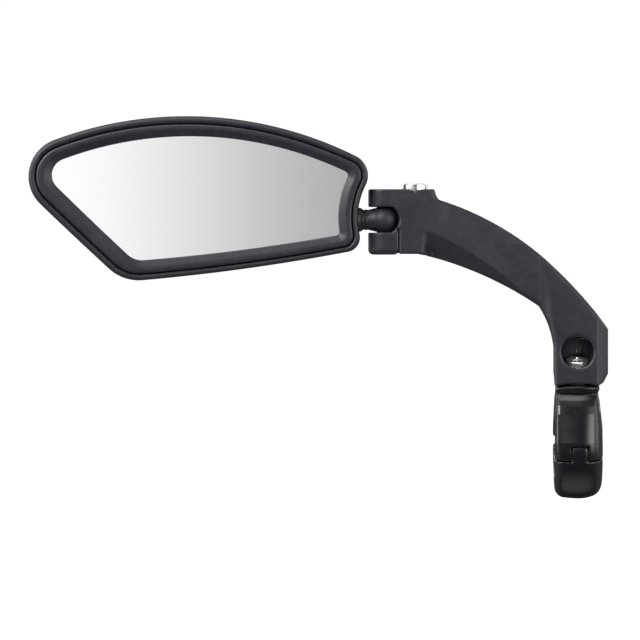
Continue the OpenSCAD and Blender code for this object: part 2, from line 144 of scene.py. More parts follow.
def bump(tree, shader, heights):
    """Bumps in a row, each (height socket, depth in metres)."""
    normal = None
    for height, depth in heights:
        node = node_of(tree, "ShaderNodeBump", Strength=1.0, Distance=depth)
        tree.links.new(height, node.inputs["Height"])
        if normal is not None:
            tree.links.new(normal, node.inputs["Normal"])
        normal = node.outputs["Normal"]
    tree.links.new(normal, shader.inputs["Normal"])


def moulded_plastic(name, colour, worn, roughness, grain, depth):
    """Spark-eroded moulded plastic: fine grain, soft waviness and faint handling marks."""
    mat, shader, tree, coords = new_material(name, colour, roughness)
    fine = noise(tree, coords, grain, 3)
    broad = noise(tree, coords, 0.012, 3)
    marks = noise(tree, coords, 0.0025, 6)
    tree.links.new(blend_colours(tree, remap(tree, marks, 0.45, 0.8, 0, 1), colour, worn),
                   shader.inputs["Base Color"])
    tree.links.new(remap(tree, broad, 0.3, 0.7, roughness - 0.05, roughness + 0.05),
                   shader.inputs["Roughness"])
    bump(tree, shader, [(broad, 0.00003), (fine, depth)])
    return mat


def metal(name, colour, roughness, streak, metallic=1.0):
    """Turned or plated metal with fine streaks and light smudges."""
    mat, shader, tree, coords = new_material(name, colour, roughness, metallic)
    streaks = noise(tree, coords, streak, 4)
    smudge = noise(tree, coords, 0.003, 4)
    darker = tuple(0.72 * c for c in colour)
    tree.links.new(blend_colours(tree, remap(tree, smudge, 0.4, 0.75, 0, 1), colour, darker),
                   shader.inputs["Base Color"])
    tree.links.new(remap(tree, streaks, 0.3, 0.7, roughness * 0.7, roughness * 1.4),
                   shader.inputs["Roughness"])
    bump(tree, shader, [(streaks, 0.000008)])
    return mat


def rubber(name, colour, roughness):
    """Matt rubber or foam with a fine, uneven skin."""
    mat, shader, tree, coords = new_material(name, colour, roughness)
    fine = noise(tree, coords, 0.0004, 5)
    paler = tuple(1.8 * c for c in colour)
    tree.links.new(blend_colours(tree, fine, colour, paler), shader.inputs["Base Color"])
    bump(tree, shader, [(fine, 0.00003)])
    return mat


def clear_glass():
    """Clear glass with a few faint smears."""
    mat, shader, tree, coords = new_material("clear_glass", (0.985, 0.99, 0.99), 0.0)
    shader.inputs["Transmission Weight"].default_value = 1.0
    shader.inputs["IOR"].default_value = 1.5
    smear = noise(tree, coords, 0.02, 3)
    tree.links.new(remap(tree, smear, 0.5, 0.8, 0.0, 0.012), shader.inputs["Roughness"])
    return mat


def mirror_silver():
    """The mirror's coating, with a barely uneven tint."""
    mat, shader, tree, coords = new_material("mirror_silver", (0.94, 0.94, 0.94), 0.01, 1.0)
    tint = noise(tree, coords, 0.03, 2)
    tree.links.new(blend_colours(tree, tint, (0.935, 0.935, 0.935), (0.945, 0.945, 0.945)),
                   shader.inputs["Base Color"])
    return mat


def reflective_tape():
    """White tape with a fine net of prisms under a smooth face."""
    mat, shader, tree, coords = new_material("reflective_tape", (0.86, 0.87, 0.88), 0.35)
    cells = node_of(tree, "ShaderNodeTexVoronoi", feature="DISTANCE_TO_EDGE", Scale=1 / 0.0011)
    tree.links.new(coords, cells.inputs["Vector"])
    edge = remap(tree, cells.outputs["Distance"], 0.0, 0.09, 0, 1)
    tree.links.new(blend_colours(tree, edge, (0.72, 0.74, 0.76), (0.9, 0.91, 0.92)),
                   shader.inputs["Base Color"])
    shader.inputs["Coat Weight"].default_value = 0.4
    shader.inputs["Coat Roughness"].default_value = 0.15
    bump(tree, shader, [(edge, 0.00002)])
    return mat


CHARCOAL = (0.018, 0.019, 0.026)
WORN = (0.028, 0.029, 0.036)
BLACK = (0.008, 0.008, 0.011)
GREY_METAL = (0.83, 0.83, 0.82)
MATERIALS = {
    "housing_plastic": moulded_plastic("housing_plastic", CHARCOAL, WORN, 0.46, 0.00035, 0.00002),
    "bezel_plastic": moulded_plastic("bezel_plastic", CHARCOAL, WORN, 0.42, 0.0003, 0.000015),
    "arm_plastic": moulded_plastic("arm_plastic", CHARCOAL, WORN, 0.44, 0.00035, 0.00002),
    "stud_plastic": moulded_plastic("stud_plastic", CHARCOAL, WORN, 0.5, 0.0003, 0.00001),
    "clamp_plastic": moulded_plastic("clamp_plastic", BLACK, (0.014, 0.014, 0.017), 0.25, 0.0006, 0.000004),
    "seat_plastic": moulded_plastic("seat_plastic", (0.03, 0.03, 0.03), (0.05, 0.05, 0.05), 0.5,
                                    0.0004, 0.00001),
    "stainless_steel": metal("stainless_steel", GREY_METAL, 0.3, 0.0005),
    "zinc_steel": metal("zinc_steel", (0.84, 0.85, 0.86), 0.42, 0.0008, 0.55),
    "brass": metal("brass", (0.78, 0.58, 0.28), 0.3, 0.0005),
    "clear_glass": clear_glass(),
    "silver_coating": mirror_silver(),
    "safety_film": moulded_plastic("safety_film", (0.16, 0.22, 0.27), (0.2, 0.26, 0.3), 0.35,
                                   0.002, 0.00001),
    "black_foam": rubber("black_foam", (0.012, 0.012, 0.012), 0.9),
    "liner_rubber": rubber("liner_rubber", (0.012, 0.012, 0.013), 0.7),
    "white_reflective": reflective_tape(),
}


# ------------------------------------------------------------- mesh helpers
def new_object(name, data):
    """An object in the scene with this mesh, light or camera."""
    obj = bpy.data.objects.new(name, data)
    bpy.context.scene.collection.objects.link(obj)
    return obj


def edit_mesh(mesh, change):
    """Changes a mesh by a function that is given its bmesh."""
    work = bmesh.new()
    work.from_mesh(mesh)
    change(work)
    work.to_mesh(mesh)
    work.free()


def mesh_object(name, points, faces):
    """A smooth-shaded object from points in millimetres."""
    mesh = bpy.data.meshes.new(name)
    mesh.from_pydata([tuple(p) for p in np.asarray(points, float) * MM], [], faces)
    mesh.validate()
    obj = new_object(name, mesh)
    edit_mesh(mesh, lambda work: bmesh.ops.recalc_face_normals(work, faces=work.faces))
    shade(obj, 40)
    return obj


def shade(obj, sharp_degrees):
    """Smooth shading, with edges sharper than the angle kept sharp."""
    mesh = obj.data
    mesh.shade_smooth()
    mesh.set_sharp_from_angle(angle=math.radians(sharp_degrees))


def loft(rings, closed=False):
    """Points and faces through rings of equal length; open lofts get a cap at each end."""
    n, m = len(rings[0]), len(rings)
    points = np.concatenate([np.asarray(r, float) for r in rings])
    faces = []
    for j in range(m if closed else m - 1):
        a, b = j * n, ((j + 1) % m) * n
        faces += [(a + i, b + i, b + (i + 1) % n, a + (i + 1) % n) for i in range(n)]
    if not closed:
        faces += [tuple(range(n)), tuple((m - 1) * n + i for i in reversed(range(n)))]
    return points, faces


def merge(parts):
    """Several (points, faces) pairs as one."""
    points, faces, start = [], [], 0
    for p, f in parts:
        points.append(np.asarray(p, float))
        faces += [tuple(start + i for i in face) for face in f]
        start += len(p)
    return np.concatenate(points), faces


def turned(profile, steps, axis="Z"):
    """Rings of a lathe profile of [radius, height] pairs, about Z or about -X."""
    angles = np.arange(steps) * 2 * math.pi / steps
    rings = []
    for r, h in profile:
        circle = np.stack([r * np.cos(angles), r * np.sin(angles), np.full(steps, h)], 1)
        rings.append(circle if axis == "Z" else circle[:, [2, 0, 1]] * [-1, 1, 1])
    return rings


def relax(obj, passes):
    """Adds a gentle smoothing to an object."""
    smooth = obj.modifiers.new("relax", "SMOOTH")
    smooth.factor = 0.5
    smooth.iterations = passes


def apply_modifiers(obj):
    """Replaces the object's mesh with its modified one."""
    graph = bpy.context.evaluated_depsgraph_get()
    mesh = bpy.data.meshes.new_from_object(obj.evaluated_get(graph))
    obj.modifiers.clear()
    obj.data = mesh
    return obj


def copy_of(node, name):
    """A welded copy of a CAD node's mesh, with no material."""
    mesh = frame["nodes"][node].data.copy()
    mesh.materials.clear()
    edit_mesh(mesh, lambda work: bmesh.ops.remove_doubles(work, verts=work.verts, dist=2e-6))
    return new_object(name, mesh)


def softened(node, name, voxel):
    """A copy of a leaning CAD node with moulded edges: remeshed finely upright, then relaxed."""
    obj = copy_of(node, name)
    upright = Matrix.Rotation(-LEAN, 4, "X")
    obj.data.transform(upright)
    remesh = obj.modifiers.new("remesh", "REMESH")
    remesh.mode = "VOXEL"
    remesh.voxel_size = voxel * MM
    relax(obj, 2)
    apply_modifiers(obj)
    obj.data.transform(upright.inverted())
    obj.data.shade_smooth()
    return obj


def bevelled(node, name, width):
    """A copy of a CAD node with its sharp edges rounded off."""
    obj = copy_of(node, name)
    flat = math.radians(1)
    edit_mesh(obj.data, lambda work: bmesh.ops.dissolve_limit(work, angle_limit=flat, verts=work.verts,
                                                              edges=work.edges))
    bevel = obj.modifiers.new("bevel", "BEVEL")
    bevel.width = width * MM
    bevel.segments = 3
    bevel.limit_method = "ANGLE"
    bevel.angle_limit = math.radians(35)
    bevel.harden_normals = True
    apply_modifiers(obj)
    shade(obj, 30)
    return obj


def place(obj, node, *also):
    """Puts the material on a piece, which stands for one or more CAD nodes and rides on their body."""
    obj.data.materials.clear()
    obj.data.materials.append(MATERIALS[SLOTS[node]])
    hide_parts(node, *also)
    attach(obj, BODY_OF[node])
    return obj


# ------------------------------------------------- the head, about the ball
# Corner circles [x, z, r] of the outer rim and of the glass opening, anticlockwise from
# the upper inboard corner, and the radii of the arcs between them (negative is hollow)
RIM_CORNERS = np.array([[-15.5, 18.1, 8.8], [-130, 17.75, 15.8], [-100.6, -6.9, 18], [-16, -7.3, 6]])
GLASS_CORNERS = np.array([[-17, 18, 2], [-129.4, 18.3, 6.8], [-99.2, -7.6, 9], [-20, -5, 1.5]])
RIM_ARCS = np.array([155.7, 1500, 850, -30])
GLASS_ARCS = np.array([148, 1500, 850, -38])
# Number of points along each arc and round each corner
ARC_STEPS = (90, 28, 64, 30)
CORNER_STEPS = (22, 26, 20, 14)


def arc_centre(p, q, r):
    """Centre of the arc of radius r that touches both corner circles."""
    s = math.copysign(1, r)
    rp, rq = abs(r) - s * p[2], abs(r) - s * q[2]
    d = math.dist(p[:2], q[:2])
    along = (rp * rp - rq * rq + d * d) / (2 * d)
    side = math.sqrt(rp * rp - along * along)
    e = (q[:2] - p[:2]) / d
    return np.array([p[0] + along * e[0] - s * side * e[1], p[1] + along * e[1] + s * side * e[0]])


def touch_angle(corner, centre, r):
    """Angle, about the corner circle's middle, at which the arc touches it."""
    v = corner[:2] - centre if r > 0 else centre - corner[:2]
    return math.atan2(v[1], v[0])


def turn(a):
    """An angle as a turn of 0 to 360 degrees, in radians."""
    return a % (2 * math.pi)


def ease(v):
    """A smooth step from 0 to 1 as v goes from 0 to 1."""
    c = np.clip(v, 0, 1)
    return c * c * (3 - 2 * c)


def outline(t):
    """The head's outline in x, z: t = 0 at the outer rim, t = 1 at the glass opening."""
    corners = RIM_CORNERS + (GLASS_CORNERS - RIM_CORNERS) * t
    arcs = RIM_ARCS + (GLASS_ARCS - RIM_ARCS) * t
    points = []
    for i in range(4):
        before, p, q = corners[i - 1], corners[i], corners[(i + 1) % 4]
        e_in, e_out = arc_centre(before, p, arcs[i - 1]), arc_centre(p, q, arcs[i])
        a0, a1 = touch_angle(p, e_in, arcs[i - 1]), touch_angle(p, e_out, arcs[i])
        a2 = touch_angle(q, e_out, arcs[i])
        hollow = arcs[i] < 0
        bend = turn(a2 - a1 + math.pi) - math.pi if hollow else turn(a2 - a1)
        start = a1 + (math.pi if hollow else 0)
        for k in range(CORNER_STEPS[i]):
            a = a0 + turn(a1 - a0) * k / CORNER_STEPS[i]
            points.append(p[:2] + p[2] * np.array([math.cos(a), math.sin(a)]))
        for k in range(ARC_STEPS[i]):
            a = start + bend * k / ARC_STEPS[i]
            points.append(e_out + abs(arcs[i]) * np.array([math.cos(a), math.sin(a)]))
    points = np.array(points)
    # the groove between rim and bezel runs a little lower along the top
    near_groove = ease(t / 0.3) * (1 - ease((t - 0.36) / 0.5))
    points[:, 1] -= 0.65 * near_groove * ease((points[:, 1] - 18) / 12)
    return points


# Raised panel of the back: its round inboard end, where it stops outboard, its height and the
# width of its sloping edge
POD_END = np.array([-47.5, 12.5])
POD_END_R = 14.0
POD_LEFT = -141
POD_H = 3.4
POD_SLOPE = 4.2
# Depth at which the rim turns into the rounded shoulder, and the thickness of the wall
RIM_Y = -4.0
WALL = 2
# Level line inside the head towards which the front and the back close
SPINE_X = (-112, -42)
SPINE_Z = 8.0


def pod_top(x):
    """Height of the raised panel's upper edge."""
    return 28.1 - (x + 75) ** 2 / 542


def pod_bottom(x):
    """Height of the raised panel's lower edge."""
    return -3.5 + (x + 86) ** 2 / 760


def pod_depth(x, z):
    """Distance inside the raised panel's edge, positive within."""
    round_end = POD_END_R - np.hypot(x - POD_END[0], z - POD_END[1])
    inside = np.minimum(pod_top(x) - z, z - pod_bottom(x))
    inside = np.minimum(inside, np.where(x > POD_END[0], round_end, np.inf))
    return np.minimum(inside, x - POD_LEFT)


def dome_y(x, z):
    """Depth of the back's dome, without the raised panel."""
    return 9.4 - 2.6 * ((x + 78) / 62) ** 2 - 2.2 * ((z - 8) / 26) ** 2


def back_y(x, z):
    """Depth of the back, with the raised panel."""
    return dome_y(x, z) + POD_H * ease(pod_depth(x, z) / POD_SLOPE)


def ring_at(t, y):
    """Ring along the outline at one depth."""
    p = outline(t)
    return np.stack([p[:, 0], np.full(len(p), y), p[:, 1]], 1)


def shoulder_ring(k):
    """Ring k of 0..1 on the rounded shoulder between the rim and the back."""
    p = outline(k ** 1.25)
    lift = math.sin(math.pi / 2 * k ** 0.75)
    y = RIM_Y + (back_y(p[:, 0], p[:, 1]) - RIM_Y) * lift
    return np.stack([p[:, 0], y, p[:, 1]], 1)


def towards_spine(p, s):
    """Outline points, shrunk by s towards the spine."""
    spine = np.stack([np.clip(p[:, 0], *SPINE_X), np.full(len(p), SPINE_Z)], 1)
    return spine + (p - spine) * s


def face_ring(s, depth):
    """Ring on the back or its inside, shrunk by s towards the spine."""
    q = towards_spine(outline(1), s)
    return np.stack([q[:, 0], depth(q[:, 0], q[:, 1]), q[:, 1]], 1)


def housing():
    """The rear shell: back, shoulder, rim, groove, inside and the collar at the stud."""
    shoulder = [shoulder_ring(k / 18) for k in range(18, 0, -1)]
    # front of the rim: out of the shoulder, over a rounded ridge and down into the groove
    rim = [(0, -4), (0, -5.4), (0, -6.6), (0.012, -7.4), (0.035, -8.1), (0.07, -8.6), (0.115, -8.88),
           (0.16, -8.95), (0.21, -8.85), (0.255, -8.6), (0.285, -8.3), (0.3, -7.9), (0.3, -1.5), (0.7, 3)]
    rings = ([face_ring(s, back_y) for s in np.linspace(0.02, 1, 56)] + shoulder
             + [ring_at(t, y) for t, y in rim]
             + [face_ring(s, lambda x, z: dome_y(x, z) - WALL) for s in (1, 0.8, 0.6, 0.4, 0.2, 0.02)])
    # flared collar where the stud leaves the housing
    flare_start, flare_r, neck, collar_end = 9.2, 2.9, 4.75, 13.6
    bore = neck - 0.25
    flare = [(neck + flare_r * (1 - math.cos(a)), flare_start + flare_r * math.sin(a))
             for a in np.linspace(0, math.radians(84), 10)]
    profile = [(bore, collar_end), (bore, flare_start)] + flare + [(8, 12.4), (6.4, collar_end)]
    collar = turned(profile, 48, "X")
    points, faces = merge([loft(rings), loft(collar, closed=True)])
    return mesh_object("housing_shell", points + BALL, faces)


def bezel():
    """The front ring: a rounded outer edge, a flat slope to the glass and a rib behind."""
    section = [(0.33, -7.8), (0.333, -8.7), (0.345, -9.15), (0.375, -9.45), (0.42, -9.58), (0.5, -9.6),
               (0.6, -9.57), (0.645, -9.52), (0.68, -9.42), (0.8, -9.05), (0.92, -8.68), (0.965, -8.52),
               (0.99, -8.35), (1, -8.1), (1, -7.42), (0.87, -7.4), (0.87, -3.2), (0.33, -3.2)]
    points, faces = loft([ring_at(t, y) for t, y in section], closed=True)
    return mesh_object("bezel_ring", points + BALL, faces)


# Gap between the stripe and the raised panel, and where its upper and lower arms end
STRIPE_GAP = 0.5
STRIPE_TIP = -109.5
STRIPE_END = -81.0


def stripe_stations():
    """Inner and outer edge points of the stripe, from its tip round the panel's end."""
    stations = []
    for k in np.linspace(0, 1, 60):
        x = STRIPE_TIP + (POD_END[0] - STRIPE_TIP) * k
        z = pod_top(x) + STRIPE_GAP
        stations.append(((x, z), (x, z + 0.3 + 3 * k ** 0.4)))
    for k in np.linspace(0, 1, 42)[1:-1]:
        a = math.pi / 2 - math.pi * k
        ray = np.array([math.cos(a), math.sin(a)])
        r = POD_END_R + STRIPE_GAP
        width = 3.3 + 3 * float(ease(k * 1.4))
        stations.append((POD_END + r * ray, POD_END + (r + width) * ray))
    for k in np.linspace(0, 1, 34):
        x = POD_END[0] + (STRIPE_END - POD_END[0]) * k
        z = pod_bottom(x) - STRIPE_GAP
        stations.append(((x, z), (x + 7 * k * k, z - 6.3 - 3.2 * k)))
    return np.array([[list(a), list(b)] for a, b in stations])


def stripe():
    """Pale tape that lies on the back and stands a little proud of it."""
    stations = stripe_stations()
    across = np.concatenate([[0, 0.02], np.linspace(0.08, 0.92, 8), [0.98, 1]])
    proud = np.array([0.02] + [0.15] * 10 + [0.02])

    def row(st, lift, order):
        q = st[0] + (st[1] - st[0]) * order[:, None]
        return np.stack([q[:, 0], back_y(q[:, 0], q[:, 1]) + lift, q[:, 1]], 1)

    rings = [np.concatenate([row(st, proud, across), row(st, -0.12, across[::-1])]) for st in stations]
    points, faces = loft(rings)
    return mesh_object("reflective_stripe", points + BALL, faces)


def glass():
    """The glass plate, with a ground edge."""
    front, rear, ground = -7.4, -5.47, 0.1
    inner, edge = 0.92, 0.9

    def flat(s, y):
        q = towards_spine(outline(inner), s)
        return np.stack([q[:, 0], np.full(len(q), y), q[:, 1]], 1)

    rings = ([flat(s, front) for s in (0.02, 0.5)]
             + [ring_at(inner, front), ring_at(edge, front + ground)]
             + [ring_at(edge, rear - ground), ring_at(inner, rear)]
             + [flat(s, rear) for s in (0.5, 0.02)])
    points, faces = loft(rings)
    obj = mesh_object("mirror_plate", points + BALL, faces)
    shade(obj, 12)
    return obj


def stud():
    """Ball, ribbed neck and the tongue inside the housing."""
    ball_r, neck_r, root_r = 6.0, 4.3, 3.9
    # the ball runs into the neck between these distances from its centre
    shoulder_start, shoulder_end = 3.6, 5.9
    shoulder_r = math.sqrt(ball_r ** 2 - shoulder_start ** 2)
    profile = []
    for h in -ball_r * np.cos(np.linspace(0.02, 2.95, 50)):
        r = math.sqrt(ball_r ** 2 - h * h)
        if h > shoulder_start:
            t = (h - shoulder_start) / (shoulder_end - shoulder_start)
            r = shoulder_r + (neck_r - shoulder_r) * float(ease(t))
        profile.append((r, h))
    ribs, pitch, rib_height, rib_steps = 3, 1.5, 0.24, 10
    for k in range(ribs * rib_steps + 1):
        h = shoulder_end + 0.1 + k * pitch / rib_steps
        wave = math.cos(2 * math.pi * k / rib_steps)
        profile.append((neck_r - rib_height / 2 + rib_height / 2 * wave, h))
    profile += [(4.2, shoulder_end + ribs * pitch + 0.5), (root_r, 11.4), (root_r, 13.4)]
    body = loft(turned(profile, 64, "X"))
    # section of the tongue [y, z], a bar with small chamfers, and its two ends
    bar = ((-1.2, -4.6), (-1.0, -5), (1.6, -5), (1.8, -4.6), (1.8, 4.6), (1.6, 5), (-1.0, 5), (-1.2, 4.6))
    tongue = [[(x, y, z) for y, z in bar] for x in (-38.0, -12.6)]
    points, faces = merge([body, loft(tongue)])
    return mesh_object("stud_body", points + BALL, faces)


place(housing(), "rear_housing")
place(bezel(), "bezel")
place(stripe(), "stripe_decal")
place(glass(), "mirror_glass")
place(stud(), "ball_stud")


# ------------------------------------------------------------ moulded parts
# Each is a field of signed distances in millimetres, negative inside, whose zero surface
# becomes the mesh. Fields are joined and cut with rounded edges.
def soft_max(a, b, r):
    """Intersection of two fields, with its edge rounded over about r."""
    h = np.clip(1 - np.abs(a - b) / r, 0, 1)
    return np.maximum(a, b) + h * h * r / 4


def soft_min(a, b, r):
    """Union of two fields, with a fillet of about r."""
    return -soft_max(-a, -b, r)


def round_max(a, b, r):
    """Intersection with a true round edge of radius r, for fields that meet squarely."""
    p, q = a + r, b + r
    return np.hypot(np.maximum(p, 0), np.maximum(q, 0)) + np.minimum(np.maximum(p, q), 0) - r


def cut(solid, tool, r):
    """A field with another taken away from it, with an edge of about r."""
    return soft_max(solid, -tool, r)


def slab(v, low, high):
    """Field between two planes."""
    return np.maximum(low - v, v - high)


def post(u, v, r):
    """Field of a cylinder about the origin of u, v."""
    return np.hypot(u, v) - r


def block(u, v, w, low, high, r=0.3):
    """Field of a box from its low corner to its high one."""
    return soft_max(soft_max(slab(u, low[0], high[0]), slab(v, low[1], high[1]), r),
                    slab(w, low[2], high[2]), r)


def polygon_field(corners, u, v):
    """Signed distance to a closed polygon in the plane."""
    nearest = np.full(u.shape, 1e9)
    inside = np.zeros(u.shape, bool)
    for (ax, ay), (bx, by) in zip(corners, corners[1:] + corners[:1]):
        ex, ey = bx - ax, by - ay
        t = np.clip(((u - ax) * ex + (v - ay) * ey) / (ex * ex + ey * ey), 0, 1)
        nearest = np.minimum(nearest, np.hypot(u - ax - t * ex, v - ay - t * ey))
        if ay != by:
            inside ^= ((ay > v) != (by > v)) & (u < ax + ex * (v - ay) / ey)
    return np.where(inside, -nearest, nearest)


def bow(p, q, sag, n):
    """Points strictly between p and q on an arc that rises by sag to the left of p-q."""
    p, q = np.array(p, float), np.array(q, float)
    d = np.linalg.norm(q - p)
    r = (d * d / 4 + sag * sag) / (2 * sag)
    e = (q - p) / d
    left = np.array([-e[1], e[0]])
    centre = (p + q) / 2 + left * (sag - r)
    half = math.asin(d / 2 / r)
    angles = [half * (2 * k / n - 1) for k in range(1, n)]
    return [tuple(centre + r * (left * math.cos(a) + e * math.sin(a))) for a in angles]


def field_mesh(name, field, low, high, step):
    """The zero surface of a field as a mesh of quads, one vertex in each cell that it crosses."""
    axes = [np.arange(a, b + step, step, dtype=np.float32) for a, b in zip(low, high)]
    value = field(*np.meshgrid(*axes, indexing="ij")).astype(np.float32)
    inside = value < 0
    cells = tuple(n - 1 for n in value.shape)
    total = np.zeros((*cells, 3), np.float32)
    count = np.zeros(cells, np.float32)
    crossings = []
    for axis in range(3):
        others = [a for a in range(3) if a != axis]
        head = [slice(None)] * 3
        tail = [slice(None)] * 3
        head[axis], tail[axis] = slice(0, -1), slice(1, None)
        a, b = value[tuple(head)], value[tuple(tail)]
        crossed = inside[tuple(head)] != inside[tuple(tail)]
        along = np.where(crossed, a / np.where(crossed, a - b, 1), 0)
        crossings.append((axis, others, crossed, inside[tuple(head)]))
        for i in (0, 1):
            for j in (0, 1):
                pick = [slice(None)] * 3
                for other, shift in zip(others, (i, j)):
                    pick[other] = slice(shift, cells[other] + shift)
                hit = crossed[tuple(pick)].astype(np.float32)
                count += hit
                total[..., axis] += along[tuple(pick)] * hit
                total[..., others[0]] += i * hit
                total[..., others[1]] += j * hit
    used = count > 0
    index = np.full(cells, -1)
    index[used] = np.arange(used.sum())
    points = np.stack(np.nonzero(used), 1) + total[used] / count[used][:, None]
    faces = []
    for axis, others, crossed, start_inside in crossings:
        at = np.stack(np.nonzero(crossed), 1)
        at = at[(at[:, others[0]] > 0) & (at[:, others[1]] > 0)]
        at = at[(at[:, others[0]] < cells[others[0]]) & (at[:, others[1]] < cells[others[1]])]
        corners = []
        for i, j in ((-1, -1), (0, -1), (0, 0), (-1, 0)):
            cell = at.copy()
            cell[:, others[0]] += i
            cell[:, others[1]] += j
            corners.append(index[cell[:, 0], cell[:, 1], cell[:, 2]])
        quads = np.stack(corners, 1)
        flip = start_inside[at[:, 0], at[:, 1], at[:, 2]] == (axis == 1)
        quads[flip] = quads[flip][:, ::-1]
        faces.append(quads)
    faces = np.concatenate(faces)
    mesh = bpy.data.meshes.new(name)
    mesh.from_pydata(((points * step + np.array(low)) * MM).tolist(), [], faces.tolist())
    mesh.shade_smooth()
    obj = new_object(name, mesh)
    relax(obj, 2)
    return apply_modifiers(obj)


SWIVEL_X = JOINTS["arm_swivel"]["pos_m"][0] / MM
ARM_Y = BALL[1]
# Along the swivel's axis from the bar: the top of the domed seat, the washer's bearing, the
# floor of the key's pocket and the middle of its mouth; and the dome's radius
SEAT_TOP = 30.3
BEARING = 33.8
POCKET_FLOOR = 37.4
MOUTH_AT = 41.4
SEAT_R = 40.0
# Radii of the clearance holes of the screws, of the pocket and of its mouth
HOLE_R = 2.7
POCKET_R = 6.7
MOUTH_R = 6.6
# The ridge between the arm's band and its scoop, an arc in the side view
RIDGE_CENTRE = (-115.6, -37.0)
RIDGE_R = 137.0
# The foot's ends along the bar, the height of its outer end, its half thickness and where its
# chamfer starts
FOOT_LEFT, FOOT_RIGHT = -10.55, 11.7
FOOT_TOP = 49.35
FOOT_HALF = 9.2
CHAMFER_X = 7.2
# The fork: half thickness, the scale along x that makes its round nose a little longer, the
# radius of the hollow for the ball and its seats, and the distance from ball to jaw bolt
FORK_HALF = 6.4
NOSE_STRETCH = 0.963
SOCKET_R = 7.05
JAW_BOLT_X = 12.4
# Outline of the arm in x, z: lower edge, foot, outer edge and fork, with the bend of each edge
LOWER_BEND = (-16.6, 58.6)
OUTER_BEND = (-14.7, 78.3)
FORK_START = (-57.4, 102.1)
ARM_SIDE = ([(-87, 80), (-66, 80)] + bow((-66, 80), LOWER_BEND, 2.5, 14) + [LOWER_BEND]
            + bow(LOWER_BEND, (FOOT_LEFT, 42), 1.0, 8)
            + [(FOOT_LEFT, 42), (FOOT_LEFT, 22), (7, 22), (FOOT_RIGHT, 31), (FOOT_RIGHT, FOOT_TOP)]
            + bow((FOOT_RIGHT, FOOT_TOP), OUTER_BEND, -1.05, 12) + [OUTER_BEND]
            + bow(OUTER_BEND, FORK_START, -2.55, 14)
            + [FORK_START, (-58.1, 102.8), (-58.7, 103.8), (-59.5, 106.5), (-87, 106.5)])


def seat_dome(u, v, w, gap):
    """Field of the domed seat on which the arm turns, grown by a gap."""
    return np.sqrt(u * u + v * v + (w - (SEAT_TOP - SEAT_R)) ** 2) - (SEAT_R + gap)


def lean_back(y, z):
    """Coordinates of the leaning clamp's frame."""
    c, s = math.cos(LEAN), math.sin(LEAN)
    return c * y + s * z, c * z - s * y


def arm_half_depth(x, z):
    """Half the arm's thickness over its side view: band, foot, crease, scoop and chamfer."""
    band = np.interp(x, [-80, -59.5, -40, -22], [FORK_HALF, 6.8, 7.3, 7.2])
    crease = np.interp(z, [42, 50, 63.6, 75.9, 92], [-10.7, -10.9, -12.5, -15, -19.5])
    slope = np.interp(z, [48, 60, 72, 84], [0.75, 0.6, 0.3, 0.16])
    beyond = crease - x
    foot = FOOT_HALF - slope * (beyond + np.sqrt(beyond * beyond + 0.5)) / 2
    half = soft_max(band, foot, 1.2)
    half = np.minimum(half, FOOT_HALF - (x - CHAMFER_X))
    # the band thins above the ridge
    radius = np.hypot(x - RIDGE_CENTRE[0], z - RIDGE_CENTRE[1])
    rise = np.clip((radius - RIDGE_R) / 16, 0, 1.3)
    half = half - 0.5 * rise ** 2 - 2.5 * rise * ease((x + 76) / 34) * (1 - ease((x + 42) / 26))
    # the fork's side stands out a little below a line that slopes with the arm
    block_line = 105.4 + (x + 75.6) * -0.18
    half = half + 0.25 * ease((block_line - z) / 1.6) * (1 - ease((x + 59) / 6)) * ease((x + 78) / 4)
    # the scoop under the ridge, which runs out towards the foot
    below = np.maximum(RIDGE_R - radius, 0)
    start = ease((x + 64.8) / 5.0)
    deep = np.interp(x, [-60, -45, -30, -19, -16.2], [5.3, 5.4, 4.0, 1.4, 0])
    drop = deep - soft_max(deep - 0.8 * below, 0, 0.6)
    return half - drop * start


def round_mouth(by):
    """Radius of the round end of the mouth: open at the face, closing in round the ball."""
    return 6.14 - 0.45 * ease((by + 6) / 1.5)


def split_height(by):
    """Height of the split between arm and jaw beside the ball; it steps up behind the face."""
    return np.where(by > 1.5 - FORK_HALF, -3.1, -4.0)


def ball_socket(bx, by, bz):
    """Field of the round hollow for the ball and its seats."""
    return np.sqrt(bx * bx + by * by + bz * bz) - SOCKET_R


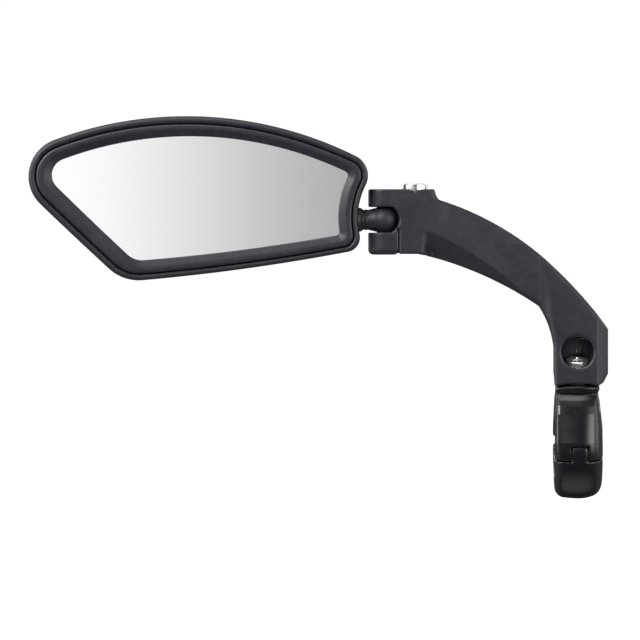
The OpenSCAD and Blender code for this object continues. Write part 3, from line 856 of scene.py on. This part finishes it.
def arm_field(x, y, z):
    """The arm, with its fork at the top and its foot over the clamp."""
    flat_x, flat_z = x[:, 0, :], z[:, 0, :]
    side = polygon_field(ARM_SIDE, flat_x, flat_z)[:, None, :]
    depth = np.abs(y - ARM_Y) - arm_half_depth(flat_x, flat_z)[:, None, :]
    nose = post(NOSE_STRETCH * (x - BALL[0]), y - ARM_Y, FORK_HALF)
    edge = 0.5 + 1.2 * ease((x + 66) / 10)
    solid = soft_max(side, np.where(x < BALL[0], nose, depth), edge)
    # fork: mouth, ball socket, slot for the jaw's tail, jaw bolt
    bx, by, bz = x - BALL[0], y - BALL[1], z - BALL[2]
    above = (bx > 0) & (bz > split_height(by) + 0.1)
    mouth = np.where(above, post(bx, bz, round_mouth(by)), bx - 6.1)
    mouth = np.maximum(mouth, bz - 5.25)
    solid = cut(solid, mouth, 0.3)
    solid = cut(solid, ball_socket(bx, by, bz), 0.2)
    solid = cut(solid, block(bx, by, bz, (4, -4.6, -30), (16.9, 4.6, -5.0)), 0.3)
    solid = cut(solid, block(bx, by, bz, (4, -4.6, -9), (7.4, 4.6, -3.0)), 0.2)
    solid = cut(solid, post(bx - JAW_BOLT_X, by, HOLE_R), 0.2)
    solid = cut(solid, np.maximum(post(bx - JAW_BOLT_X, by, 5.6), 9.5 - bz), 0.4)
    # foot: domed underside, swivel bore and the pocket for its key
    v, w = lean_back(y, z)
    u = x - SWIVEL_X
    solid = cut(solid, seat_dome(u, v, w, 1), 0.8)
    solid = cut(solid, np.maximum(post(u, v, HOLE_R), w - BEARING - 1), 0.2)
    solid = cut(solid, np.maximum(post(u, v, 4.9), slab(w, BEARING, POCKET_FLOOR + 1)), 0.3)
    pocket = np.maximum(post(u, v, POCKET_R), slab(w, POCKET_FLOOR, POCKET_FLOOR + 9))
    across = post(u, z - MOUTH_AT * math.cos(LEAN), MOUTH_R)
    # a small bevel where the mouth meets the front face
    across = across - np.clip(ARM_Y - 8.75 - y, 0, 1)
    entry = np.maximum(across, y + MOUTH_AT * math.sin(LEAN))
    return cut(solid, np.minimum(pocket, entry), 0.5)


def jaw_field(x, y, z):
    """The lower jaw: a block under the ball, a lip behind it and a tail for the jaw bolt."""
    bx, by, bz = x - BALL[0], y - BALL[1], z - BALL[2]
    nose = post(NOSE_STRETCH * bx, by, FORK_HALF)
    plan = np.where(bx < 0, nose, round_max(np.abs(by) - FORK_HALF, bx - 5.95, 0.9))
    lip = np.maximum(-post(bx, bz, round_mouth(by)), bz - split_height(by) + 0.1)
    top = np.where(bx > 2.4, lip, bz + 5.3)
    solid = soft_max(soft_max(plan, -14.3 - bz, 2.4), top, 0.4)
    tail = block(bx, by, bz, (0, -4.3, -13.6), (16.6, 4.3, -5.6), 1.0)
    tail = np.minimum(tail, block(bx, by, bz, (3, -4.3, -8), (7, 4.3, -3.3), 0.3))
    solid = soft_min(solid, tail, 0.3)
    solid = cut(solid, ball_socket(bx, by, bz), 0.2)
    return cut(solid, post(bx - JAW_BOLT_X, by, 3.0), 0.2)


# In the clamp's leaning frame v runs from front to back, and w up the swivel's axis.
# Radii of the ring's bore and of its outside, and how fast that falls away to each side
RING_IN, RING_R = 12.4, 20.5
CROWN_IN, CROWN_OUT = 0.033, 0.012
# Hinge at the front, with its pin and middle knuckle, and the lugs of the closing screw behind
HINGE_V, HINGE_W = -16.2, 3.4
PIN_R = 1.25
PIN_HALF = 6.4
KNUCKLE_HALF = 3.4
LUG_V = 18.5
LUG_R = 5.6


def half_width(w):
    """Half the clamp's width at a height: waisted under the arm, full at the ring."""
    return np.interp(w, [-20, -8, 4, 13, 19, 22.5, 25.2, 26.2, 27.2, 32],
                     [9.5, 9.82, 9.87, 9.72, 9.3, 8.8, 8.5, 8.6, 9.1, 9.1])


def crown(x):
    """Fall of the clamp's outside away from the middle, more on the inboard side."""
    return np.where(x > 0, CROWN_IN, CROWN_OUT) * x * x


def outer_corner(x, w):
    """Radius of the clamp's long edges: smaller up the column, above all outboard."""
    radius = np.interp(w, [-16, -6, 12, 21, 26], [3.2, 3.8, 3.8, 3.2, 1.6])
    outboard = np.interp(w, [-4, 8], [1, 0.5])
    return radius * (1 - (1 - outboard) * ease((4 - x) / 8))


def clamp_middle(w):
    """Middle of the clamp's width: the ring stands out a little more on its outboard side."""
    return np.interp(w, [12, 24], [-0.42, SWIVEL_X])


def clamp_sides(x, w):
    """Field between the clamp's two side faces."""
    return np.abs(x - clamp_middle(w)) - half_width(w)


def ring_field(x, v, w):
    """The clamp's ring: a band whose outside is crowned and rounded at its edges."""
    r = np.hypot(v, w)
    outside = round_max(clamp_sides(x, w), r - RING_R + crown(x), outer_corner(x, w))
    return soft_max(outside, RING_IN - r, 0.8)


def within_side(angle):
    """Angle from the middle of a hexagon's nearest side."""
    return (angle + math.pi / 6) % (math.pi / 3) - math.pi / 6


def stepped_seam(v, w, low_front, low_rear):
    """Height above the parting line, which steps at the ring's middle."""
    return w - np.where(v < 0, low_front, low_rear)


def lug_field(x, v, w, low, high):
    """A lug of the closing screw, round at its end."""
    shaft = np.where(v > LUG_V, post(x, v - LUG_V, LUG_R), np.abs(x) - LUG_R)
    return soft_max(np.maximum(shaft, 8 - v), slab(w, low, high), 1.0)


def saddle_field(x, v, w):
    """Ring and column in one: the column carries the arm on a thin lip."""
    front = np.interp(w, [8, 12, 16, 19, 22, 24, 25.2, 25.8, 26.8, 32],
                      [18.3, 17.4, 16.2, 15.0, 13.2, 11.5, 10.0, 9.2, 9.7, 9.7])
    back = np.interp(w, [8, 14, 20, 27, 32], [16.0, 13.5, 11.2, 9.2, 9.2])
    column = np.maximum(np.where(v < 0, -v - front, v - back), 4 - w)
    profile = soft_min(column, np.hypot(v, w) - RING_R, 2.5) + crown(x)
    outside = round_max(clamp_sides(x, w), profile, outer_corner(x, w))
    return soft_max(outside, seat_dome(x - SWIVEL_X, v, w, 0), 0.7)


def upper_clamp_field(x, y, z):
    """The upper half: saddle, rear lug, hinge slot, screw holes and the swivel nut's trap."""
    v, w = lean_back(y, z)
    solid = soft_max(saddle_field(x, v, w), RING_IN - np.hypot(v, w), 0.6)
    solid = soft_min(solid, lug_field(x, v, w, 1.6, 10), 1.5)
    solid = soft_max(solid, RING_IN - np.hypot(v, w), 0.6)
    solid = soft_max(solid, -stepped_seam(v, w, 0.6, 1.6), 0.5)
    slot = block(x, v, w, (-KNUCKLE_HALF - 0.25, -30, -4), (KNUCKLE_HALF + 0.25, -8, 6.65), 0.9)
    solid = cut(solid, slot, 0.4)
    pin = np.maximum(post(v - HINGE_V, w - HINGE_W, PIN_R), np.abs(x) - PIN_HALF - 0.2)
    solid = cut(solid, pin, 0.2)
    solid = cut(solid, post(x, v - LUG_V, HOLE_R), 0.2)
    solid = cut(solid, np.maximum(post(x, v - LUG_V, 5.1), 10 - w), 0.5)
    u = x - SWIVEL_X
    solid = cut(solid, np.maximum(post(u, v, HOLE_R), 8 - w), 0.2)
    nut = np.hypot(u, v) * np.cos(within_side(np.arctan2(v, u))) - 4.1
    return cut(solid, np.maximum(nut, w - 19), 0.2)


def lower_clamp_field(x, y, z):
    """The lower half: half ring, middle knuckle and rear lug with the barrel nut's bore."""
    v, w = lean_back(y, z)
    ring = soft_max(ring_field(x, v, w), stepped_seam(v, w, 0.2, -2.8), 0.5)
    knuckle = soft_max(ring_field(x, v, w) + 0.1, np.abs(x) - KNUCKLE_HALF, 1.2)
    knuckle = soft_max(knuckle, np.maximum(slab(w, -3, 6.4), v + 8), 1.2)
    solid = np.minimum(ring, knuckle)
    solid = soft_min(solid, lug_field(x, v, w, -12.4, -2.8), 1.5)
    solid = soft_max(solid, RING_IN - np.hypot(v, w), 0.6)
    solid = cut(solid, post(v - HINGE_V, w - HINGE_W, PIN_R), 0.15)
    solid = cut(solid, post(x, v - LUG_V, 2.9), 0.2)
    return cut(solid, post(v - LUG_V, w + 7.4, 3.65), 0.3)


def shaped(node, name, field, step):
    """A piece made from a field over its CAD node's box."""
    low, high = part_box(node)
    margin = 3 * step
    obj = field_mesh(name, field, np.array(low) / MM - margin, np.array(high) / MM + margin, step)
    return place(obj, node)


fine = 1.0
shaped("arm", "arm_shell", arm_field, 0.4 * fine)
shaped("lower_jaw", "jaw_shell", jaw_field, 0.28 * fine)
shaped("upper_clamp", "clamp_saddle", upper_clamp_field, 0.3 * fine)
shaped("lower_clamp", "clamp_half_ring", lower_clamp_field, 0.3 * fine)
place(softened("upper_liner", "liner_top", 0.3), "upper_liner")
place(softened("lower_liner", "liner_bottom", 0.3), "lower_liner")


# --------------------------------------------------------------- fasteners
def hexagon(apothem, height, steps):
    """Ring of points round a hexagon at one height."""
    angles = np.arange(steps) * 2 * math.pi / steps
    r = apothem / np.cos(within_side(angles))
    return np.stack([r * np.cos(angles), r * np.sin(angles), np.full(steps, height)], 1)


def thread_rings(root, crest, pitch, low, high, steps):
    """Rings of a helical thread on a shank, from high down to low."""
    turns = np.arange(steps) / steps
    angles = 2 * math.pi * turns
    rings = []
    for h in np.arange(high, low, -pitch / 8):
        wave = np.abs(((h / pitch - turns) % 1) * 2 - 1)
        r = root + (crest - root) * np.clip((wave - 0.12) / 0.76, 0, 1)
        rings.append(np.stack([r * np.cos(angles), r * np.sin(angles), np.full(steps, h)], 1))
    return rings


def socket_screw(head_r, head_h, shank_l, key, threaded, crest=2.5):
    """Hex-socket screw along Z, with its bearing face at zero and its thread's crests at a radius."""
    steps = 48
    edge = 0.45
    pitch = 0.8
    key_depth = 2.2
    plain = max(shank_l - threaded, 0.3)
    rim = [(head_r - edge + edge * math.sin(a), head_h - edge + edge * math.cos(a))
           for a in np.linspace(0, math.pi / 2, 6)]
    under = [(head_r, 0.2), (head_r - 0.2, 0), (crest + 0.2, 0), (crest, -0.2), (crest, -plain)]
    rings = turned([(0.02, head_h - key_depth - 0.1)], steps)
    rings += [hexagon(key, head_h - key_depth, steps), hexagon(key, head_h - 0.25, steps)]
    rings += turned([(key * 1.22, head_h)] + rim + under, steps)
    rings += thread_rings(crest - 0.4, crest, pitch, pitch - shank_l, -plain - 0.1, steps)
    rings += turned([(crest - 0.5, 0.5 - shank_l), (crest - 0.9, -shank_l), (0.02, -shank_l)], steps)
    return loft(rings)


def axis_matrix(point, lean):
    """A frame at a point in millimetres, with its Z axis leaning back."""
    return Matrix.Translation(Vector(point) * MM) @ Matrix.Rotation(lean, 4, "X")


def screw(name, node, point, lean, *sizes):
    """A socket screw of the given sizes, placed by the middle of its bearing face."""
    points, faces = socket_screw(*sizes)
    obj = mesh_object(name, points, faces)
    obj.data.transform(axis_matrix(point, lean))
    shade(obj, 30)
    return place(obj, node)


def leaning(point):
    """A point of the leaning clamp's frame, in the part's own frame."""
    return Matrix.Rotation(LEAN, 3, "X") @ Vector(point)


jaw_axis = np.array(JOINTS["jaw_bolt_turn"]["pos_m"]) / MM
screw("jaw_screw_m5", "jaw_bolt", (jaw_axis[0], jaw_axis[1], BALL[2] + 10.3), 0, 5.3, 4.4, 23, 2.5, 12)
swivel_screw = screw("swivel_screw_m5", "swivel_bolt", leaning((SWIVEL_X, 0, 34.6)), LEAN,
                     4.5, 3.6, 20, 2.0, 12)
screw("closing_screw_m5", "clamp_bolt", leaning((0, LUG_V, 10.8)), LEAN, 4.25, 5, 23, 2.0, 22, 2.15)
for node in ("jaw_washer", "swivel_washer", "clamp_washer", "clamp_barrel_nut", "swivel_nut", "jaw_insert"):
    place(bevelled(node, node + "_turned", 0.12), node)


def hinge_pin():
    """Steel pin with rounded ends, blind in the outer knuckles."""
    edge = 0.3
    end = [(PIN_R - edge + edge * math.sin(a), PIN_HALF - edge + edge * math.cos(a))
           for a in np.linspace(0, math.pi / 2, 6)]
    half = [(0.02, PIN_HALF)] + end + [(PIN_R, PIN_HALF / 2)]
    profile = half + [(PIN_R, 0)] + [(r, -h) for r, h in reversed(half)]
    points, faces = loft(turned(profile, 40, "X"))
    obj = mesh_object("hinge_pin_steel", points, faces)
    obj.data.transform(axis_matrix(leaning((0, HINGE_V, HINGE_W)), LEAN))
    return obj


place(hinge_pin(), "clamp_hinge_pin")

# CAD nodes with no mesh of their own above keep their shape and get their material
for node, obj in frame["nodes"].items():
    if not obj.hide_render:
        obj.data.materials.clear()
        obj.data.materials.append(MATERIALS[SLOTS[node]])


# ------------------------------------------------------------------- stage
def area_light(name, place_at, target, size, power):
    """A soft box that the camera doesn't see, turned to its target."""
    light = bpy.data.lights.new(name, "AREA")
    light.shape = "RECTANGLE"
    light.size, light.size_y = size
    light.energy = power
    obj = new_object(name, light)
    obj.location = place_at
    obj.rotation_euler = (Vector(target) - Vector(place_at)).to_track_quat("-Z", "Y").to_euler()
    obj.visible_camera = False
    return obj


def plane(name, corners, mat):
    """A flat piece of the stage."""
    mesh = bpy.data.meshes.new(name)
    mesh.from_pydata(corners, [], [(0, 1, 2, 3)])
    mesh.materials.append(mat)
    obj = new_object(name, mesh)
    return obj


def floor():
    """A wide pale floor, shaded under the object and running into the white far from it."""
    mat, shader, tree, coords = new_material("pale_floor", (0.86, 0.86, 0.86), 0.7)
    length = node_of(tree, "ShaderNodeVectorMath", operation="LENGTH")
    tree.links.new(coords, length.inputs[0])
    shader.inputs["Emission Color"].default_value = (1, 1, 1, 1)
    tree.links.new(remap(tree, length.outputs["Value"], 0.5, 1.5, 0.3, 1.2),
                   shader.inputs["Emission Strength"])
    far = 6
    z = cad_low.z - 0.12
    corners = [(-far, -far, z), (far, -far, z), (far, far, z), (-far, far, z)]
    ground = plane("pale_floor", corners, mat)
    ground.visible_diffuse = False
    ground.visible_glossy = False
    ground.visible_transmission = False


def gradient_card():
    """A card for the mirror to show, white outboard and grey inboard; only reflections see it."""
    mat = bpy.data.materials.new("gradient_card")
    mat.use_nodes = True
    tree = mat.node_tree
    tree.nodes.clear()
    glow = tree.nodes.new("ShaderNodeEmission")
    out = tree.nodes.new("ShaderNodeOutputMaterial")
    tree.links.new(glow.outputs["Emission"], out.inputs["Surface"])
    glass_low, glass_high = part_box("mirror_glass")
    white_x, grey_x = glass_low.x - 0.044, glass_high.x + 0.02
    strength = remap(tree, coordinates(tree, "Object")["X"], white_x, grey_x, 1.11, 0.46)
    strength.node.interpolation_type = "SMOOTHSTEP"
    tree.links.new(strength, glow.inputs["Strength"])
    y = -0.9
    left, right, bottom, top = -0.34, -0.03, 0.03, 0.21
    corners = [(left, y, bottom), (right, y, bottom), (right, y, top), (left, y, top)]
    card = plane("gradient_card", corners, mat)
    card.visible_camera = False
    card.visible_diffuse = False
    card.visible_shadow = False


def mix_values(tree, factor, a, b):
    """Value a where the factor is 0, value b where it is 1."""
    node = node_of(tree, "ShaderNodeMix", data_type="FLOAT")
    tree.links.new(factor, node.inputs["Factor"])
    tree.links.new(a, node.inputs["A"])
    if isinstance(b, float):
        node.inputs["B"].default_value = b
    else:
        tree.links.new(b, node.inputs["B"])
    return node.outputs["Result"]


def world():
    """Dim surroundings, brighter to both sides and below; white to the camera, grey in the mirror."""
    sides_glow, white = 0.42, 1.3
    sky = bpy.data.worlds.new("studio")
    sky.use_nodes = True
    tree = sky.node_tree
    tree.nodes.clear()
    path = tree.nodes.new("ShaderNodeLightPath")
    ray = coordinates(tree, "Generated")
    sides = node_of(tree, "ShaderNodeMath", operation="MULTIPLY")
    tree.links.new(ray["X"], sides.inputs[0])
    tree.links.new(ray["X"], sides.inputs[1])
    around = node_of(tree, "ShaderNodeMath", operation="MULTIPLY_ADD")
    tree.links.new(sides.outputs["Value"], around.inputs[0])
    around.inputs[1].default_value = sides_glow
    tree.links.new(remap(tree, ray["Z"], -0.8, -0.98, 0.06, 0.8), around.inputs[2])
    in_mirror = remap(tree, ray["X"], -0.7, 0.7, 0.8, 0.4)
    # the mirror is seen through its glass, so what it shows comes by transmission rays
    glow = mix_values(tree, path.outputs["Is Transmission Ray"], around.outputs["Value"], in_mirror)
    glow = mix_values(tree, path.outputs["Is Camera Ray"], glow, white)
    back = tree.nodes.new("ShaderNodeBackground")
    tree.links.new(glow, back.inputs["Strength"])
    out = tree.nodes.new("ShaderNodeOutputWorld")
    tree.links.new(back.outputs["Background"], out.inputs["Surface"])
    bpy.context.scene.world = sky


def camera():
    """A long lens looking straight ahead, level, as the photograph is taken."""
    centre = Vector((-0.1064, 0, 0.0529))
    view_width = 0.2631
    distance = 3.5
    data = bpy.data.cameras.new("camera")
    data.sensor_width = 36
    data.lens = data.sensor_width * distance / view_width
    obj = new_object("camera", data)
    obj.location = centre + Vector((0, -distance, 0))
    obj.rotation_euler = (math.pi / 2, 0, 0)
    bpy.context.scene.camera = obj


# Soft boxes about the part: where each stands, its width and height, and its power in watts
SOFT_BOXES = {
    "left_box": ((-1.7, -0.35, 0.25), (0.6, 0.9), 10),
    "front_box": ((-1.15, -1.25, 0.95), (0.6, 0.5), 26),
    "right_box": ((0.95, -1.2, 0.26), (0.6, 0.8), 9),
    "right_side": ((1.5, -0.3, 0.35), (1.0, 1.0), 6),
    "top_box": ((-0.35, -0.3, 1.4), (1.4, 0.8), 12),
    "back_left": ((-1.2, 1.5, 0.8), (0.8, 1.2), 12),
    "back_right": ((1.2, 1.5, 0.8), (0.8, 1.2), 8),
}


def pocket_light():
    """A lamp for the swivel screw alone, which lies deep in the arm's pocket."""
    target = Vector((SWIVEL_X, ARM_Y, MOUTH_AT - 4)) * MM
    lamp = area_light("pocket_light", target + Vector((0.03, -0.75, 0.5)), target, (0.2, 0.2), 12)
    lit = bpy.data.collections.new("lit_by_pocket_light")
    lit.objects.link(swivel_screw)
    lamp.light_linking.receiver_collection = lit


floor()
gradient_card()
world()
camera()
for name, (spot, size, power) in SOFT_BOXES.items():
    area_light(name, spot, (cad_low + cad_high) / 2, size, power)
pocket_light()
bpy.context.scene.view_settings.view_transform = "Standard"
